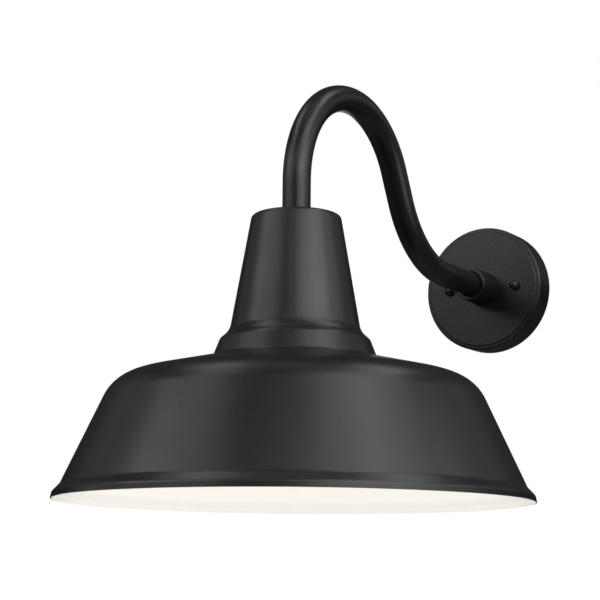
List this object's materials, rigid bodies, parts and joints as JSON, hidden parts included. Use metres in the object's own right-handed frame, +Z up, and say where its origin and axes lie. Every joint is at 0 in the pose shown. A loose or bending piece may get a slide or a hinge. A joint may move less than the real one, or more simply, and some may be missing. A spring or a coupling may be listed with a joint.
{
  "type": "outdoor wall lantern",
  "caption": "Gooseneck outdoor wall lantern: round wall plate, bent tube arm and wide spun metal shade with a flared lip, white inside, over an upright neck and screw-in bulb.",
  "frame": {"origin": "centre of the slotted box bar, in the wall plane behind the wall plate", "axes": "+Y into the wall, -Y out along the arm to the shade, +Z up, +X to the right when facing the wall"},
  "size_m": [0.3929, 0.5815, 0.3752],
  "materials": {
    "black_powder_coat": "fine-textured satin black powder coat",
    "white_enamel": "smooth warm white baked enamel inside the shade",
    "zinc_steel": "bright zinc plate",
    "black_steel": "black oxide",
    "green_screw": "green dyed zinc",
    "brass": "turned brass",
    "black_rubber": "matt",
    "pressed_aluminium": "pressed, satin",
    "porcelain": "glazed",
    "black_insulation": "smooth",
    "white_insulation": "smooth",
    "green_insulation": "smooth",
    "connector_plastic": "moulded",
    "opal_plastic": "opal, lit from inside",
    "bulb_plastic": "moulded",
    "led_board_white": "white solder resist",
    "circuit_board": "green solder resist",
    "nickel_shell": "nickel plated, rolled thread",
    "base_glass": "black glass"
  },
  "bodies": {
    "lantern": {"wall_gasket": "black_rubber", "box_bar": "zinc_steel", "stud_bar": "zinc_steel", "bracket_rivet": "zinc_steel", "ground_screw": "green_screw", "mounting_studs": "zinc_steel", "stud_nuts": "zinc_steel", "wall_plate": "black_powder_coat", "arm_collar": "black_powder_coat", "grub_screw": "black_steel", "base_nipple": "brass", "base_lock_washer": "zinc_steel", "base_lock_nut": "brass", "arm_tube": "black_powder_coat", "arm_end_bush": "zinc_steel", "neck_gasket": "black_rubber", "shade": "black_powder_coat", "shade_lock_washer": "zinc_steel", "shade_lock_nut": "brass", "socket_nipple": "brass", "socket_cap": "pressed_aluminium", "socket_body": "porcelain", "socket_screws": "zinc_steel", "screw_shell": "brass", "centre_contact": "brass", "contact_rivets": "brass", "black_lead": "black_insulation", "white_lead": "white_insulation", "ground_lead": "green_insulation", "ring_terminals": "zinc_steel", "wire_nuts": "connector_plastic"},
    "left_washer": {"left_seal_washer": "black_rubber"},
    "left_nut": {"left_cap_nut": "black_powder_coat"},
    "right_washer": {"right_seal_washer": "black_rubber"},
    "right_nut": {"right_cap_nut": "black_powder_coat"},
    "bulb_contact": {"bulb_insulator": "base_glass", "bulb_tip": "nickel_shell"},
    "bulb": {"bulb_globe": "opal_plastic", "bulb_housing": "bulb_plastic", "led_board": "led_board_white", "led_driver": "circuit_board", "bulb_screw_base": "nickel_shell"}
  },
  "joints": [
    {"name": "left_nut_travel", "type": "slide", "parent": "lantern", "child": "left_washer", "axis": [0, -1, 0], "range_m": [0, 0.00397]},
    {"name": "left_nut_turn", "type": "hinge", "parent": "left_washer", "child": "left_nut", "pos_m": [-0.0365, -0.03, 0], "axis": [0, -1, 0], "range_deg": [0, 1800]},
    {"name": "right_nut_travel", "type": "slide", "parent": "lantern", "child": "right_washer", "axis": [0, -1, 0], "range_m": [0, 0.00397]},
    {"name": "right_nut_turn", "type": "hinge", "parent": "right_washer", "child": "right_nut", "pos_m": [0.0365, -0.03, 0], "axis": [0, -1, 0], "range_deg": [0, 1800]},
    {"name": "bulb_travel", "type": "slide", "parent": "lantern", "child": "bulb_contact", "axis": [0, 0, -1], "range_m": [0, 0.01814]},
    {"name": "bulb_turn", "type": "hinge", "parent": "bulb_contact", "child": "bulb", "pos_m": [0, -0.38506, -0.1], "axis": [0, 0, -1], "range_deg": [0, 1800]}
  ],
  "couplings": [
    {"joint": "left_nut_turn", "follows": "left_nut_travel", "rad_per_m": 7915.8},
    {"joint": "right_nut_turn", "follows": "right_nut_travel", "rad_per_m": 7915.8},
    {"joint": "bulb_turn", "follows": "bulb_travel", "rad_per_m": 1731.4}
  ]
}
